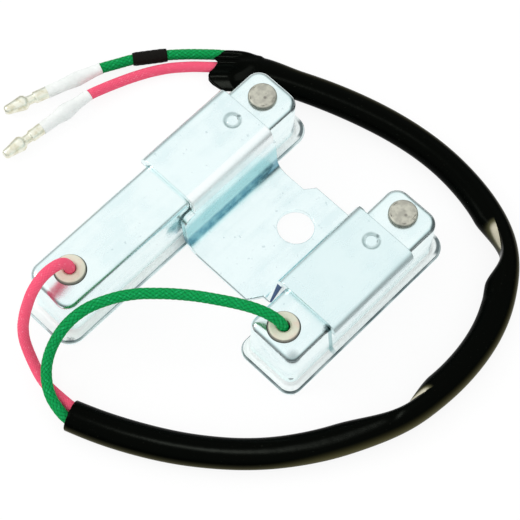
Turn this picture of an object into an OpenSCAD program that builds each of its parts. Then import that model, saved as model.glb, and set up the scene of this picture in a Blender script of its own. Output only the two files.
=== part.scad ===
// Lighting load resistor for a small motor vehicle: two wire-wound resistors in
// plated steel cases, held side by side by one folded bracket with a bolt hole.
// Each resistor sends one lead out of a ceramic bush. Both leads run through a
// soft sleeve and end in bullet terminals under clear sleeves.
// Millimetres. Z is up, the resistors lie along Y with their bushes toward -Y.
// The origin is on the axis of the bolt hole, at the underside.

/* [Bracket] */
// Thickness of the bracket sheet
sheet_t = 1.6; // [1.2:0.1:2]
// Diameter of the bolt hole
bolt_hole_d = 9; // [5:0.5:10]
// Middle of the long resistor from the bolt hole
long_offset = 24.5; // [24:0.5:28]
// Middle of the short resistor from the bolt hole
short_offset = 20.5; // [20:0.5:26]
// Length of the straps along the resistors
strap_len = 26.4; // [20:0.2:28]
// Back edge of the straps from the bolt hole
strap_back = 8; // [6:0.2:8.4]
// Height of the strap lips, from the strap top down
lip_h = 3.4; // [3:0.1:6]
// Inner bend radius of the straps
strap_bend_r = 1; // [0.6:0.1:1.6]
// Lean of the wall beside the long resistor, degrees
long_wall_lean = 6; // [3:1:9]
// Lean of the wall beside the short resistor, degrees
short_wall_lean = 12; // [8:1:18]
// Gap between the short resistor and the bend of its wall
short_wall_gap = 0.7; // [0.3:0.1:1]
// Inner bend radius at the foot of the long wall
long_foot_r = 3.5; // [2.5:0.5:4]
// Inner bend radius at the foot of the short wall
short_foot_r = 1; // [0.6:0.1:2]
// Front edge of the web from the bolt hole
web_front = 21.8; // [20.5:0.1:24]
// Back edge of the web beside the long wall, from the bolt hole
web_back = 8.6; // [8.6:0.1:10]
// Extra depth of the web at its back edge beside the short wall
web_step = 2.5; // [1:0.1:4]
// Height of the wall shoulders where the straps begin
shoulder_z = 13; // [11:0.1:13]
// Corner radius of the wall shoulders
shoulder_r = 2.4; // [1:0.1:2.4]
// Outer diameter of the spot weld rings on the straps
weld_ring_d = 4; // [3:0.1:5]

/* [Cases] */
// Outer width of a case
case_w = 14.4; // [13.6:0.1:15]
// Height of a case above its base plate
case_h = 15.7; // [15:0.1:17]
// Outer length of the long case
long_len = 76.8; // [70:0.2:82]
// Outer length of the short case
short_len = 50.2; // [46:0.2:58]
// Back end of both cases from the bolt hole
case_back = 19.5; // [18:0.5:22]
// Sheet thickness of the cases
case_t = 0.8; // [0.6:0.1:1]
// Radius of the upright corners of a case
case_corner_r = 3.6; // [2.8:0.1:4]
// Radius of the upright corners at the front end of the short case
short_front_r = 2.4; // [2.3:0.1:4]
// Radius round the top edge of a case
case_top_r = 2; // [1.2:0.1:2.2]
// Width of the flange along the sides
flange_side = 1.3; // [0.9:0.1:1.5]
// Width of the flange at the ends
flange_end = 2.3; // [1.5:0.1:3]
// Width of the flange at the front end of the short case
short_flange_front = 1.4; // [1:0.1:3]
// Thickness of the base plates
base_t = 0.8; // [0.6:0.1:1.2]
// How far the base plates reach past the flanges
base_margin = 0.4; // [0.3:0.1:0.8]

/* [Bushes and rivets] */
// Diameter of the ceramic lead bushes
bush_d = 7.4; // [7:0.1:8.2]
// Height of the bushes above the case top
bush_rise = 1; // [0.4:0.1:1.5]
// Long bush from the front end of its case
long_bush_in = 7.8; // [7:0.1:12]
// Short bush from the front end of its case
short_bush_in = 5.2; // [5.2:0.1:10]
// Head diameter of the ground rivets
rivet_head_d = 7; // [6:0.1:8]
// Head height of the ground rivets
rivet_head_h = 1.1; // [0.8:0.1:1.5]
// Long rivet from the back end of its case
long_rivet_in = 5.9; // [5:0.1:7]
// Short rivet from the back end of its case
short_rivet_in = 5.3; // [5:0.1:7]

/* [Resistance elements] */
// Diameter of the ceramic formers
former_d = 6.4; // [5:0.1:6.6]
// Thickness of the wound resistance ribbon
ribbon_t = 0.5; // [0.3:0.1:0.6]
// Width of the resistance ribbon
ribbon_w = 2; // [1:0.1:2.4]
// Distance from one turn of ribbon to the next
ribbon_pitch = 3; // [2.6:0.1:4]
// Length of the end caps on the formers
cap_len = 5; // [4.6:0.1:6]

/* [Leads] */
// Diameter of the two leads
lead_d = 2.7; // [1.8:0.1:2.8]
// Outer diameter of the sleeve round both leads
sleeve_d = 7.4; // [7.2:0.1:8.2]
// Wall of the sleeve
sleeve_wall = 0.6; // [0.4:0.1:0.7]
// Length of a bullet terminal with its clear sleeve
terminal_len = 26; // [24:0.5:28]
// Length of the clear sleeves
clear_len = 14.6; // [12:0.2:15]
// Outer diameter of the clear sleeves at their bulge
clear_d = 4.2; // [4:0.1:4.4]
// Largest diameter of the bullets
bullet_d = 3.9; // [3.6:0.1:4]
// Length of the black band shrunk on the green lead
band_len = 8.6; // [5:0.2:9]
// Outer diameter of the black band
band_d = 3.4; // [3:0.1:3.4]

/* [Hidden] */
$fn = 48;
tiny = 0.01;
// Fits: play of a strap on its case, of a bush or rivet in its hole, of inner pieces
strap_fit = 0.05;
hole_fit = 0.2;
inner_fit = 0.15;

// Heights shared by the cases, the bracket and everything seated on them
case_top = base_t + case_h;
case_under = case_top - case_t;
strap_top = case_top + sheet_t;
long_cx = -long_offset;
short_cx = short_offset;
long_front = case_back - long_len;
short_front = case_back - short_len;
long_bush = [long_cx, long_front + long_bush_in, 0];
short_bush = [short_cx - 0.5, short_front + short_bush_in, 0];
long_rivet = [long_cx - 0.2, case_back - long_rivet_in, 0];
short_rivet = [short_cx - 0.4, case_back - short_rivet_in, 0];
strap_front = strap_back - strap_len;

// Folded strip of the bracket: each wall drops from the strap to the web
long_turn = 90 - long_wall_lean;
short_turn = 90 - short_wall_lean;
long_radii = strap_bend_r + long_foot_r + sheet_t;
short_radii = strap_bend_r + short_foot_r + sheet_t;
long_leg = (case_top - long_radii * (1 - cos(long_turn))) / sin(long_turn);
short_leg = (case_top - short_radii * (1 - cos(short_turn))) / sin(short_turn);
long_run = long_radii * sin(long_turn) + long_leg * cos(long_turn);
short_run = short_radii * sin(short_turn) + short_leg * cos(short_turn);
strap_half = case_w / 2 + strap_fit;
long_strap_leg = 2 * strap_half - 2 * strap_bend_r;
short_strap_leg = long_strap_leg + short_wall_gap;
lip_leg = lip_h - sheet_t - strap_bend_r;
web_left = long_cx + strap_half - strap_bend_r + long_run;
web_right = short_cx - strap_half - short_wall_gap + strap_bend_r - short_run;
long_folds = [
    [long_turn, long_foot_r, long_leg],
    [-long_turn, strap_bend_r, long_strap_leg],
    [-90, strap_bend_r, lip_leg]
];
short_folds = [
    [short_turn, short_foot_r, short_leg],
    [-short_turn, strap_bend_r, short_strap_leg],
    [-90, strap_bend_r, lip_leg]
];
far = 80;
web_full_back = web_back + web_step;
step_x = -4.6;
notch_w = 2.2;
weld_y = 3.5;
weld_line = 0.6;
weld_depth = 0.08;
flange_round = 0.6;
bend_steps = 8;

// Resistance elements lie low in the cases, under the bushes and rivets
element_lift = 5.4;
element_z = base_t + element_lift;
cap_r = former_d / 2 + 0.75;
boss_z = element_z + cap_r + 0.5;
cement_top = boss_z + 0.7;
lead_end_z = cement_top + 1;
rivet_shank_r = 1.6;
tag_t = 0.8;
tag_len = 5;
link_r = 1.1;

// Leads: the bush bore, and the two leads side by side inside the sleeve
lead_r = lead_d / 2;
bore_r = lead_r + 0.2;
lead_gap = 0.14;
sleeve_z = sleeve_d / 2 + 0.1;
sleeve_ahead = 13.7;

// Route of the sleeve, and of the leads before and after it
sleeve_route = [
    [-3, long_front - sleeve_ahead, sleeve_z],
    [15, -62.5, sleeve_z],
    [31, -50.5, sleeve_z],
    [43.5, -34.5, sleeve_z],
    [51, -17, sleeve_z],
    [52.5, 1, sleeve_z],
    [49, 16.5, sleeve_z],
    [41, 29.5, sleeve_z],
    [27, 35.5, sleeve_z],
    [11.5, 37, sleeve_z],
    [-7, 34.5, sleeve_z],
    [-24.5, 28.5, sleeve_z],
    [-37, 23, sleeve_z],
    [-43.5, 17.5, sleeve_z]
];
pink_over = [[-0.2, 6.9, 3.2], [-0.6, 4, 4.4], [-1.2, 0.9, 2.9], [-1.6, -2.1, -0.4],
    [-1.4, -5, -4.3], [-0.1, -7.7, -8.5], [2, -9.5, -11.5]];
pink_low = [[6.5, -11, 2], [11, -12, 1.5], [15.5, -12, 2.4]];
green_over = [[-0.8, -0.4, 2.9], [-3.4, -1, 3.9], [-8, -2.2, 3.6], [-14, -5.4, 2.8]];
green_across = [[17.5, 22, 2.2], [12, 17.7, 1.9], [7.5, 12.6, 1.4], [4.3, 7.3, 0.7], [2.3, 2.3, -0.5],
    [1.6, -1.7, -2.3], [1.4, -5.2, -5], [2, -8.7, -8.7]];
green_low = [[4.5, -11.8, 5.1], [8.5, -14.5, 4.1]];
pink_after = [[-48.6, 14, 1.6], [-52.6, 9.5, 1.5], [-56.7, 2.6, 1.5], [-59.4, -4.3, 2.2]];
green_after = [[-49.5, 18.5, 2.2], [-55.3, 12.1, 1.8], [-61.2, 4.2, 1.8], [-63, 0.3, 2.3]];

// Terminals lie tip down on the table, each on one straight axis
terminal_z = bullet_d / 2 + 0.7;
pink_start = [-60.9, -10.2, terminal_z];
pink_way = [-0.104, -0.994, -0.03];
green_start = [-64.3, -3, terminal_z];
green_way = [-0.319, -0.947, -0.03];
bullet_in = 8.5;
barrel_r = 1.5;
neck_past = 3.6;
bulb_at = [1.6, 2.2, 2.8, 3.4];

long_corner = [long_cx + case_w / 2, long_front, case_top];
long_brow = [long_cx, long_front, case_top];
pink_route = concat(
    [long_bush + [0, 0, lead_end_z], long_bush + [0, 0, case_top + bush_rise]],
    [for (q = pink_over) long_brow + q],
    [for (q = pink_low) [long_cx + q.x, long_front + q.y, q.z]],
    beside(sleeve_route, lead_r + lead_gap),
    pink_after,
    [pink_start, pink_start + unit(pink_way) * bullet_in]
);
green_route = concat(
    [short_bush + [0, 0, lead_end_z], short_bush + [0, 0, case_top + bush_rise]],
    [for (q = green_over) short_bush + [0, 0, case_top] + q],
    [for (q = green_across) long_corner + q],
    [for (q = green_low) [long_corner.x + q.x, long_front + q.y, q.z]],
    beside(sleeve_route, -lead_r - lead_gap),
    green_after,
    [green_start, green_start + unit(green_way) * bullet_in]
);

zinc = [0.86, 0.92, 0.93];
grey_steel = [0.62, 0.61, 0.58];
cream = [0.9, 0.86, 0.76];
tinned = [0.8, 0.78, 0.68];

// One vector scaled to length one
function unit(v) = v / norm(v);

// Direction of a route at each of its points, the mean of the steps before and after
function headings(p) = let (n = len(p) - 1)
    [for (i = [0:n]) unit((i > 0 ? unit(p[i] - p[i - 1]) : [0, 0, 0])
        + (i < n ? unit(p[i + 1] - p[i]) : [0, 0, 0]))];

// A level route moved sideways, to its left for a positive distance
function beside(p, d) = let (h = headings(p))
    [for (i = [0:len(p) - 1]) p[i] + d * unit([-h[i].y, h[i].x, 0])];

// A vector with its part along a direction taken off
function squared(v, h) = unit(v - (v * h) * h);

// Sideways vectors carried along a route without twist
function sides_of(h) = [for (i = 0, s = squared([1, 0.2, 0], h[0]); i < len(h);
    i = i + 1, s = i < len(h) ? squared(s, h[i]) : s) s];

// Rings of points round a route
function rings(p, r, n) = let (h = headings(p), s = sides_of(h))
    [for (i = [0:len(p) - 1]) for (k = [0:n - 1])
        p[i] + r * (cos(k * 360 / n) * s[i] + sin(k * 360 / n) * cross(h[i], s[i]))];

// Cord swept along a route, or a hose when a bore is given
module cord(route, r, n, bore = 0) {
    m = len(route);
    outer = rings(route, r, n);
    skin = [for (i = [0:m - 2]) for (k = [0:n - 1])
        [i * n + k, i * n + (k + 1) % n, (i + 1) * n + (k + 1) % n, (i + 1) * n + k]];
    if (bore == 0) {
        ends = [[for (k = [n - 1:-1:0]) k], [for (k = [0:n - 1]) (m - 1) * n + k]];
        polyhedron(outer, [for (f = concat(skin, ends)) [for (k = [len(f) - 1:-1:0]) f[k]]]);
    } else {
        inner = rings(route, bore, n);
        b = m * n;
        lining = [for (f = skin) [f[3] + b, f[2] + b, f[1] + b, f[0] + b]];
        first = [for (k = [0:n - 1]) [k, b + k, b + (k + 1) % n, (k + 1) % n]];
        last = [for (k = [0:n - 1]) let (j = (m - 1) * n)
            [j + k, j + (k + 1) % n, b + j + (k + 1) % n, b + j + k]];
        polyhedron(concat(outer, inner),
            [for (f = concat(skin, lining, first, last)) [for (k = [3:-1:0]) f[k]]]);
    }
}

// Rectangle with rounded corners, centred, with one radius at the back and one at the front
module rounded_rect(w, l, back_r, front_r) {
    translate([-w / 2, front_r - l / 2])
        square([w, l - back_r - front_r]);
    for (end = [[1, back_r], [-1, front_r]]) {
        r = end[1];
        translate([0, end[0] * (l - r) / 2])
            square([w - 2 * r, r], center = true);
        for (x = [-1, 1])
            translate([x * (w / 2 - r), end[0] * (l / 2 - r)])
                circle(r);
    }
}

// Quarter of a flat ring, from straight ahead round to its left
module quarter_ring(outer_r, inner_r) {
    intersection() {
        difference() {
            circle(outer_r);
            circle(inner_r);
        }
        square(2 * outer_r);
    }
}

// Directions along and to the left of a heading in the edge view
function ahead(a) = [cos(a), sin(a)];
function left(a) = [-sin(a), cos(a)];

// One face of a folded sheet, a height above its lower face: a bend and a straight leg for each fold
function folded_face(folds, up, at = [0, 0], h = 0, i = 0) =
    i == len(folds) ? [at + up * left(h)] :
    let (turn = folds[i][0], pivot = turn > 0 ? sheet_t + folds[i][1] : -folds[i][1],
        c = at + pivot * left(h), next = c - pivot * left(h + turn) + folds[i][2] * ahead(h + turn))
    concat([for (k = [0:bend_steps]) c + (up - pivot) * left(h + turn * k / bend_steps)],
        folded_face(folds, up, next, h + turn, i + 1));

// A list of points backward
function backward(p) = [for (i = [len(p) - 1:-1:0]) p[i]];

// Edge view of the whole bracket, folded outward from both ends of the web
module bracket_profile() {
    under = folded_face(short_folds, 0);
    over = folded_face(short_folds, sheet_t);
    long_under = folded_face(long_folds, 0);
    long_over = folded_face(long_folds, sheet_t);
    polygon(concat(
        [for (q = under) [web_right + q.x, q.y]],
        [for (q = backward(over)) [web_right + q.x, q.y]],
        [for (q = long_over) [web_left - q.x, q.y]],
        [for (q = backward(long_under)) [web_left - q.x, q.y]]));
}

// What is cut away above a wall shoulder, seen along X with the strap edge at zero
module shoulder_cut(reach) {
    square([far, far]);
    difference() {
        translate([reach - shoulder_r, -shoulder_r])
            square([far, shoulder_r + tiny]);
        translate([reach - shoulder_r, -shoulder_r])
            circle(shoulder_r);
    }
}

// Corner of the web taken off in front of the short wall
module web_notch() {
    inner = web_right - 0.2;
    polygon([[inner - notch_w, -far], [inner - notch_w, -web_front], [inner, strap_front],
        [far, strap_front], [far, -far]]);
}

// Ring left on a strap by a spot weld
module weld_ring(x) {
    translate([x, weld_y, strap_top - weld_depth])
        difference() {
            cylinder(d = weld_ring_d, h = 1);
            translate([0, 0, -1])
                cylinder(d = weld_ring_d - 2 * weld_line, h = 3);
        }
}

// One folded sheet: lip, strap, wall, web, wall, strap and lip
module mounting_bracket() {
    color(zinc)
        difference() {
            translate([0, web_full_back, 0])
                rotate([90, 0, 0])
                    linear_extrude(web_full_back + web_front)
                        bracket_profile();
            translate([0, 0, -1])
                cylinder(d = bolt_hole_d, h = sheet_t + 2);
            // front of the long side above its shoulder
            translate([web_left, strap_front, shoulder_z])
                rotate([90, 0, -90])
                    linear_extrude(far)
                        shoulder_cut(strap_front + web_front);
            // back of the short side above its shoulder
            translate([web_right, strap_back, shoulder_z])
                rotate([90, 0, 90])
                    linear_extrude(far)
                        shoulder_cut(web_full_back - strap_back);
            // back of the long side, with the slanted step of the web
            translate([0, 0, -1])
                linear_extrude(far)
                    polygon([[-far, web_back], [step_x - 1, web_back], [step_x + 1, web_full_back],
                        [step_x + 1, far], [-far, far]]);
            translate([web_left - far, strap_back, shoulder_z])
                cube(far);
            // front of the short side
            translate([0, 0, -1])
                linear_extrude(far)
                    web_notch();
            weld_ring(long_cx - 0.3);
            weld_ring(short_cx - 0.6);
        }
}

// Half section of the drawn wall at a corner radius: upright, rounded into the top, flared into the flange
module wall_profile(r) {
    flare = flange_side - 0.2;
    translate([r - case_t, base_t])
        square([case_t, case_h - case_top_r]);
    translate([r - case_top_r, case_top - case_top_r])
        quarter_ring(case_top_r, case_top_r - case_t);
    translate([0, case_under])
        square([r - case_top_r, case_t]);
    translate([r, base_t + case_t])
        difference() {
            square(flare);
            translate([flare, flare])
                circle(flare);
        }
}

// The wall carried round the plan of a case: four corners, then the straight runs between them
module case_wall(w, l, back_r, front_r) {
    back = [w / 2 - back_r, l / 2 - back_r];
    front = [w / 2 - front_r, l / 2 - front_r];
    run = l - back_r - front_r;
    for (c = [[0, back.x, back.y, back_r], [90, -back.x, back.y, back_r],
        [180, -front.x, -front.y, front_r], [270, front.x, -front.y, front_r]])
        translate([c[1], c[2], 0])
            rotate(c[0])
                rotate_extrude(angle = 90)
                    wall_profile(c[3]);
    for (s = [[0, back.x, back.y, run, back_r], [90, -back.x, back.y, 2 * back.x, back_r],
        [180, -back.x, -front.y, run, back_r], [270, front.x, -front.y, 2 * front.x, front_r]])
        translate([s[1], s[2], 0])
            rotate([90, 0, s[0]])
                linear_extrude(s[3])
                    wall_profile(s[4]);
    translate([-back.x, -front.y, case_under])
        cube([2 * back.x, run, case_t]);
}

// Drawn steel case with its flange, a hole for the bush and one for the rivet
module case_shell(cx, length, front_flange, front_r, bush, rivet) {
    mid = case_back - length / 2;
    color(zinc)
        difference() {
            union() {
                translate([cx, mid, 0])
                    case_wall(case_w, length, case_corner_r, front_r);
                difference() {
                    translate([cx, mid + (flange_end - front_flange) / 2, base_t])
                        linear_extrude(case_t)
                            rounded_rect(case_w + 2 * flange_side, length + flange_end + front_flange,
                                case_corner_r + flange_round, front_r + flange_round);
                    translate([cx, mid, 0])
                        linear_extrude(case_top / 2)
                            rounded_rect(case_w - case_t, length - case_t,
                                case_corner_r - case_t / 2, front_r - case_t / 2);
                }
            }
            translate([bush.x, bush.y, case_under - 1])
                cylinder(d = bush_d + 2 * hole_fit, h = case_t + 2);
            translate([rivet.x, rivet.y, case_under - 1])
                cylinder(r = rivet_shank_r + hole_fit / 2, h = case_t + 2);
        }
}

// Flat plate closing a case from below
module base_plate(cx, length, front_flange, front_r) {
    color(zinc)
        translate([cx, case_back - length / 2 + (flange_end - front_flange) / 2, 0])
            linear_extrude(base_t)
                rounded_rect(case_w + 2 * flange_side + 2 * base_margin,
                    length + flange_end + front_flange + 2 * base_margin,
                    case_corner_r + flange_round + base_margin, front_r + flange_round + base_margin);
}

// Ceramic bush standing on the cement, its head in the hole of the case
module lead_bush(at) {
    edge = 0.4;
    top = case_top + bush_rise;
    color(cream)
        translate(at)
            rotate_extrude()
                polygon([[bore_r, cement_top], [bush_d / 2 - edge, cement_top],
                    [bush_d / 2, cement_top + edge], [bush_d / 2, top - edge], [bush_d / 2 - edge, top],
                    [bore_r + edge / 2, top], [bore_r, top - edge / 2]]);
}

// Rivet grounding the far end of the element to the case
module ground_rivet(at) {
    head_r = rivet_head_d / 2;
    color(grey_steel)
        translate(at) {
            rotate_extrude()
                polygon([[0, case_top], [head_r, case_top], [head_r, case_top + rivet_head_h - 0.4],
                    [head_r - 0.4, case_top + rivet_head_h], [0, case_top + rivet_head_h]]);
            translate([0, 0, case_under - tag_t - 0.8])
                cylinder(r = rivet_shank_r, h = case_t + tag_t + 0.8);
            translate([0, 0, case_under - tag_t - 0.8])
                cylinder(r = rivet_shank_r + 0.9, h = 0.8);
        }
}

// Turns a piece drawn upright so that it lies along Y from a given point
module lying(at) {
    translate([at.x, at.y, element_z])
        rotate([-90, 0, 0])
            children();
}

// Ceramic rod carrying the winding
module former(bush, rivet) {
    color(cream)
        lying(bush - [0, cap_len / 2 - 0.6, 0])
            cylinder(d = former_d, h = rivet.y - tag_len - bush.y + cap_len - 1.2);
}

// Flat resistance ribbon wound round the former between the caps
module winding(bush, rivet) {
    span = rivet.y - tag_len - bush.y - cap_len - 1;
    turns = floor((span - ribbon_w) / ribbon_pitch);
    base_r = former_d / 2 + inner_fit / 2;
    color(grey_steel)
        lying(bush + [0, cap_len / 2 + 0.5, 0])
            rotate_extrude() {
                translate([base_r, 0])
                    square([0.15, span]);
                for (i = [0:turns])
                    translate([base_r, i * ribbon_pitch])
                        square([ribbon_t, ribbon_w]);
            }
}

// Cap pressed over one end of a former, with a boss for its connection; the open end faces the way
module end_cap(at, way) {
    color(tinned)
        difference() {
            union() {
                lying(at - [0, cap_len / 2, 0])
                    cylinder(r = cap_r, h = cap_len);
                translate([at.x, at.y, element_z])
                    cylinder(r = link_r + 0.4, h = boss_z - element_z);
            }
            lying(at + [0, way > 0 ? 0.6 - cap_len / 2 : -cap_len / 2 - 1, 0])
                cylinder(r = former_d / 2 + inner_fit / 3, h = cap_len + 0.4);
        }
}

// Pin between the front cap and the end of the lead
module lead_link(at) {
    color(tinned)
        translate([at.x, at.y, boss_z])
            cylinder(r = link_r, h = lead_end_z - boss_z);
}

// Bent strip between the rear cap and the rivet
module ground_strap(rivet) {
    wide = 2 * rivet_shank_r + 2;
    color(tinned)
        difference() {
            union() {
                translate([rivet.x, rivet.y, case_under - tag_t])
                    cylinder(d = wide, h = tag_t);
                translate([rivet.x - wide / 2, rivet.y - tag_len - tag_t / 2, case_under - tag_t])
                    cube([wide, tag_len + tag_t / 2, tag_t]);
                translate([rivet.x - 1, rivet.y - tag_len - tag_t / 2, boss_z])
                    cube([2, tag_t, case_under - boss_z]);
            }
            translate([rivet.x, rivet.y, case_under - tag_t - 1])
                cylinder(r = rivet_shank_r + hole_fit / 2, h = tag_t + 2);
        }
}

// Cement bedding the element on the base plate
module cement(cx, length, bush, rivet) {
    w = case_w - 2 * case_t - 2 * inner_fit;
    l = length - 2 * case_t - 2 * inner_fit;
    rear = rivet.y - tag_len;
    color([0.78, 0.76, 0.7])
        difference() {
            translate([cx, case_back - length / 2, base_t])
                linear_extrude(cement_top - base_t)
                    rounded_rect(w, l, case_corner_r - case_t, case_corner_r - case_t);
            lying(bush - [0, cap_len / 2 + inner_fit, 0])
                cylinder(r = cap_r + inner_fit, h = rear - bush.y + cap_len + 2 * inner_fit);
            for (y = [bush.y, rear])
                translate([bush.x, y, element_z])
                    cylinder(r = link_r + 0.4 + inner_fit, h = far);
        }
}

// Lays a piece drawn upright along a terminal axis
module along(at, way) {
    v = unit(way);
    translate(at)
        rotate([0, acos(v.z), atan2(v.y, v.x)])
            children();
}

// Bullet terminal: crimp barrel, neck, bulb and tapered tip
module bullet(at, way) {
    r = bullet_d / 2;
    length = terminal_len - bullet_in;
    neck = clear_len - bullet_in + neck_past;
    color(tinned)
        along(at, way)
            translate([0, 0, bullet_in])
                rotate_extrude()
                    polygon([[0, 0], [barrel_r, 0], [barrel_r, neck - 0.3],
                        [barrel_r - 0.35, neck], [barrel_r - 0.35, neck + bulb_at[0]],
                        [r - 0.25, neck + bulb_at[1]], [r, neck + bulb_at[2]], [r - 0.1, neck + bulb_at[3]],
                        [1.15, length - 0.4], [0.8, length], [0, length]]);
}

// Soft clear sleeve over the crimp of a terminal
module clear_sleeve(at, way) {
    r = clear_d / 2;
    in_r = barrel_r + inner_fit / 2;
    color([0.93, 0.95, 0.93, 0.6])
        along(at, way)
            rotate_extrude()
                polygon([[in_r, 0], [r - 0.35, 0], [r, bullet_in - 3], [r, bullet_in], [r - 0.3, clear_len],
                    [in_r, clear_len]]);
}

// Sleeve carried by the green lead where it lies straight after the long sleeve
module green_shrink_band() {
    from = green_after[1];
    to = green_after[2];
    color([0.12, 0.12, 0.13])
        along((from + to) / 2 - unit(to - from) * band_len / 2, to - from)
            difference() {
                cylinder(d = band_d, h = band_len);
                translate([0, 0, -1])
                    cylinder(r = lead_r + 0.05, h = band_len + 2);
            }
}

module long_case() {
    case_shell(long_cx, long_len, flange_end, case_corner_r, long_bush, long_rivet);
}
module short_case() {
    case_shell(short_cx, short_len, short_flange_front, short_front_r, short_bush, short_rivet);
}
module long_base_plate() {
    base_plate(long_cx, long_len, flange_end, case_corner_r);
}
module short_base_plate() {
    base_plate(short_cx, short_len, short_flange_front, short_front_r);
}
module long_lead_bush() {
    lead_bush(long_bush);
}
module short_lead_bush() {
    lead_bush(short_bush);
}
module long_ground_rivet() {
    ground_rivet(long_rivet);
}
module short_ground_rivet() {
    ground_rivet(short_rivet);
}
module long_former() {
    former(long_bush, long_rivet);
}
module short_former() {
    former(short_bush, short_rivet);
}
module long_winding() {
    winding(long_bush, long_rivet);
}
module short_winding() {
    winding(short_bush, short_rivet);
}
module long_front_cap() {
    end_cap(long_bush, 1);
}
module short_front_cap() {
    end_cap(short_bush, 1);
}
module long_rear_cap() {
    end_cap([long_bush.x, long_rivet.y - tag_len, 0], -1);
}
module short_rear_cap() {
    end_cap([short_bush.x, short_rivet.y - tag_len, 0], -1);
}
module long_lead_link() {
    lead_link(long_bush);
}
module short_lead_link() {
    lead_link(short_bush);
}
module long_ground_strap() {
    ground_strap(long_rivet);
}
module short_ground_strap() {
    ground_strap(short_rivet);
}
module long_cement() {
    cement(long_cx, long_len, long_bush, long_rivet);
}
module short_cement() {
    cement(short_cx, short_len, short_bush, short_rivet);
}
module pink_lead() {
    color([0.96, 0.4, 0.52])
        cord(pink_route, lead_r, 8);
}
module green_lead() {
    color([0.06, 0.55, 0.26])
        cord(green_route, lead_r, 8);
}
module lead_sleeve() {
    color([0.1, 0.1, 0.1])
        cord(sleeve_route, sleeve_d / 2, 12, sleeve_d / 2 - sleeve_wall);
}
module pink_bullet() {
    bullet(pink_start, pink_way);
}
module green_bullet() {
    bullet(green_start, green_way);
}
module pink_clear_sleeve() {
    clear_sleeve(pink_start, pink_way);
}
module green_clear_sleeve() {
    clear_sleeve(green_start, green_way);
}

mounting_bracket();
long_case();
long_base_plate();
long_lead_bush();
long_ground_rivet();
long_former();
long_winding();
long_front_cap();
long_rear_cap();
long_lead_link();
long_ground_strap();
long_cement();
short_case();
short_base_plate();
short_lead_bush();
short_ground_rivet();
short_former();
short_winding();
short_front_cap();
short_rear_cap();
short_lead_link();
short_ground_strap();
short_cement();
pink_lead();
green_lead();
lead_sleeve();
green_shrink_band();
pink_bullet();
green_bullet();
pink_clear_sleeve();
green_clear_sleeve();
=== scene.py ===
# %% [markdown]
# # A lighting load resistor, dressed for its picture
# Two ballast resistors in plated cans sit in one folded bracket, and two covered leads run through
# a soft black sleeve to a pair of bullet terminals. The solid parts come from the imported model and
# keep their places. This file adds the studio, the soft pieces and every finish.

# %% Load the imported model
import math

import bpy
import numpy as np
from mathutils import Matrix, Vector


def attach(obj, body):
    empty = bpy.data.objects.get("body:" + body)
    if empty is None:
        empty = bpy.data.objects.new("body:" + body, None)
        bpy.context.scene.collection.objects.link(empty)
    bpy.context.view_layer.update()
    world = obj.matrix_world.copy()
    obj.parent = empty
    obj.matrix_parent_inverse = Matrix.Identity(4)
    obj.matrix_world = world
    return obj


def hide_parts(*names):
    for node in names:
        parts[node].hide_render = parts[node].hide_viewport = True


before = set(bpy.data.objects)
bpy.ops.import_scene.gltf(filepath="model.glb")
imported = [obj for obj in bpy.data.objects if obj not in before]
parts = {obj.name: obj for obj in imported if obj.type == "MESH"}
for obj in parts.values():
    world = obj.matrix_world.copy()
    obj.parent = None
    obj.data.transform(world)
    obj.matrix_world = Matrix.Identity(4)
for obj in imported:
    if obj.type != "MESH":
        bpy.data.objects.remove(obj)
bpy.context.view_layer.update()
scene = bpy.context.scene
MM = 0.001
print("solid parts in the frame:", len(parts))

# %% [markdown]
# ## Camera
# The picture looks steeply down over the near right corner of the bracket, through a long lens.
# A camera could be aimed with a tracking constraint, but a roll of two degrees is easier to state
# when its three axes are worked out as vectors and put into one matrix.

# %% Camera at the picture's angle
AZIMUTH, ELEVATION, ROLL = (math.radians(a) for a in (42.47, 65.41, 1.94))
AIM = np.array([-0.48, -11.79, 0.0]) * MM
DISTANCE = 449.76 * MM


def camera_axes(azimuth, elevation, roll):
    """Right, up and back: back points from the aim to the lens, and roll turns the other two about it."""
    back = np.array([math.sin(azimuth) * math.cos(elevation),
                     -math.cos(azimuth) * math.cos(elevation), math.sin(elevation)])
    right = np.array([math.cos(azimuth), math.sin(azimuth), 0.0])
    up = np.cross(back, right)
    return (right * math.cos(roll) + up * math.sin(roll),
            up * math.cos(roll) - right * math.sin(roll), back)


right, up, back = camera_axes(AZIMUTH, ELEVATION, ROLL)
lens = bpy.data.cameras.new("camera")
lens.sensor_width = 36
lens.lens = 130.64
lens.clip_start = 0.01
camera = bpy.data.objects.new("camera", lens)
scene.collection.objects.link(camera)
pose = np.eye(4)
pose[:3, :3] = np.stack([right, up, back], axis=1)
pose[:3, 3] = AIM + back * DISTANCE
camera.matrix_world = Matrix(pose.tolist())
scene.camera = camera
print("camera at", np.round(pose[:3, 3], 4))

# %% [markdown]
# ## Paths and surfaces
# A lead, a sleeve and a terminal cover are all one thing: a cross-section carried along a path. A
# Blender curve with a bevel gives a plain tube, but here the section changes on its way: it is
# braided, pinched and flattened. So the path and the sections are arrays, and a grid of points
# becomes the mesh.

# %% Smooth a route of a few points
STEP = 0.1


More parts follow.
